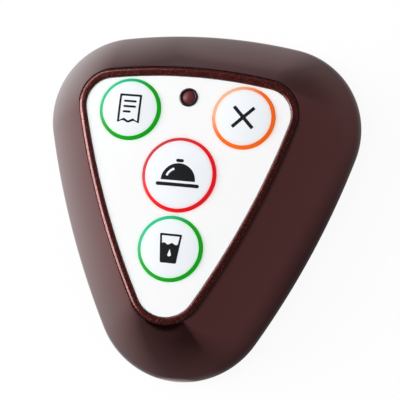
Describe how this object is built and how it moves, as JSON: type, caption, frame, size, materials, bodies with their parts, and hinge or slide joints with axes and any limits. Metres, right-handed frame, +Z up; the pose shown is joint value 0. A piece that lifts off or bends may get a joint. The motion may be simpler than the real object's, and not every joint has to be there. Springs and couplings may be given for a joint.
{
  "type": "waiter call button",
  "caption": "Battery-powered wireless table call button: rounded-triangle sloping housing, white panel with sprung round keys and a status lamp, bayonet battery door below.",
  "frame": {"origin": "middle of the bounding box's underside, where the rubber feet stand on the table", "axes": "+Z up through the keys, +Y towards the wide end with the status lamp, +X to the right seen from the tip"},
  "size_m": [0.08, 0.088, 0.0233],
  "materials": {
    "housing_brown": "high gloss dark red-brown",
    "frame_metallic_brown": "glossy metallic lacquer with fine flake",
    "panel_white": "smooth white",
    "key_white": "smooth white, slightly cool",
    "ring_green": "glossy",
    "ring_orange": "glossy",
    "ring_red": "glossy",
    "switch_black": "moulded",
    "plunger_black": "moulded",
    "tinned_metal": "tinned",
    "contact_nickel": "nickel plated spring",
    "collar_black": "gloss",
    "led_red": "diffused red-brown resin",
    "board_green": "solder mask",
    "copper_track": "copper",
    "chip_black": "moulded",
    "can_metal": "drawn can",
    "chip_part_body": "ceramic",
    "cell_steel": "nickel plated",
    "base_dark": "fine texture",
    "door_dark": "fine texture",
    "seal_rubber": "matt",
    "screw_zinc": "zinc plated",
    "feet_rubber": "matt"
  },
  "bodies": {
    "housing": {"upper_housing": "housing_brown", "panel_frame": "frame_metallic_brown", "front_panel": "panel_white", "switch_upper_left": "switch_black", "switch_upper_right": "switch_black", "switch_centre": "switch_black", "switch_lower": "switch_black", "switch_terminals": "tinned_metal", "led_collar": "collar_black", "status_led": "led_red", "led_leads": "tinned_metal", "circuit_board": "board_green", "loop_antenna": "copper_track", "encoder_chip": "chip_black", "crystal_can": "can_metal", "chip_parts": "chip_part_body", "coin_cell": "cell_steel", "contact_positive": "contact_nickel", "contact_negative": "contact_nickel", "base_plate": "base_dark", "housing_seal": "seal_rubber", "housing_screws": "screw_zinc", "board_screws": "screw_zinc", "rubber_feet": "feet_rubber"},
    "upper_left_key": {"key_upper_left": "key_white", "ring_upper_left": "ring_green", "plunger_upper_left": "plunger_black"},
    "upper_right_key": {"key_upper_right": "key_white", "ring_upper_right": "ring_orange", "plunger_upper_right": "plunger_black"},
    "centre_key": {"key_centre": "key_white", "ring_centre": "ring_red", "plunger_centre": "plunger_black"},
    "lower_key": {"key_lower": "key_white", "ring_lower": "ring_green", "plunger_lower": "plunger_black"},
    "door": {"battery_door": "door_dark", "door_seal": "seal_rubber"}
  },
  "joints": [
    {"name": "upper_left_key_press", "type": "slide", "parent": "housing", "child": "upper_left_key", "axis": [0, 0, -1], "range_m": [0, 0.0003], "stiffness_N_per_m": 3000, "springref_m": -0.0003},
    {"name": "upper_right_key_press", "type": "slide", "parent": "housing", "child": "upper_right_key", "axis": [0, 0, -1], "range_m": [0, 0.0003], "stiffness_N_per_m": 3000, "springref_m": -0.0003},
    {"name": "centre_key_press", "type": "slide", "parent": "housing", "child": "centre_key", "axis": [0, 0, -1], "range_m": [0, 0.0003], "stiffness_N_per_m": 3000, "springref_m": -0.0003},
    {"name": "lower_key_press", "type": "slide", "parent": "housing", "child": "lower_key", "axis": [0, 0, -1], "range_m": [0, 0.0003], "stiffness_N_per_m": 3000, "springref_m": -0.0003},
    {"name": "battery_door_turn", "type": "hinge", "parent": "housing", "child": "door", "pos_m": [0, 0, 0.0006], "axis": [0, 0, -1], "range_deg": [0, 40]}
  ]
}
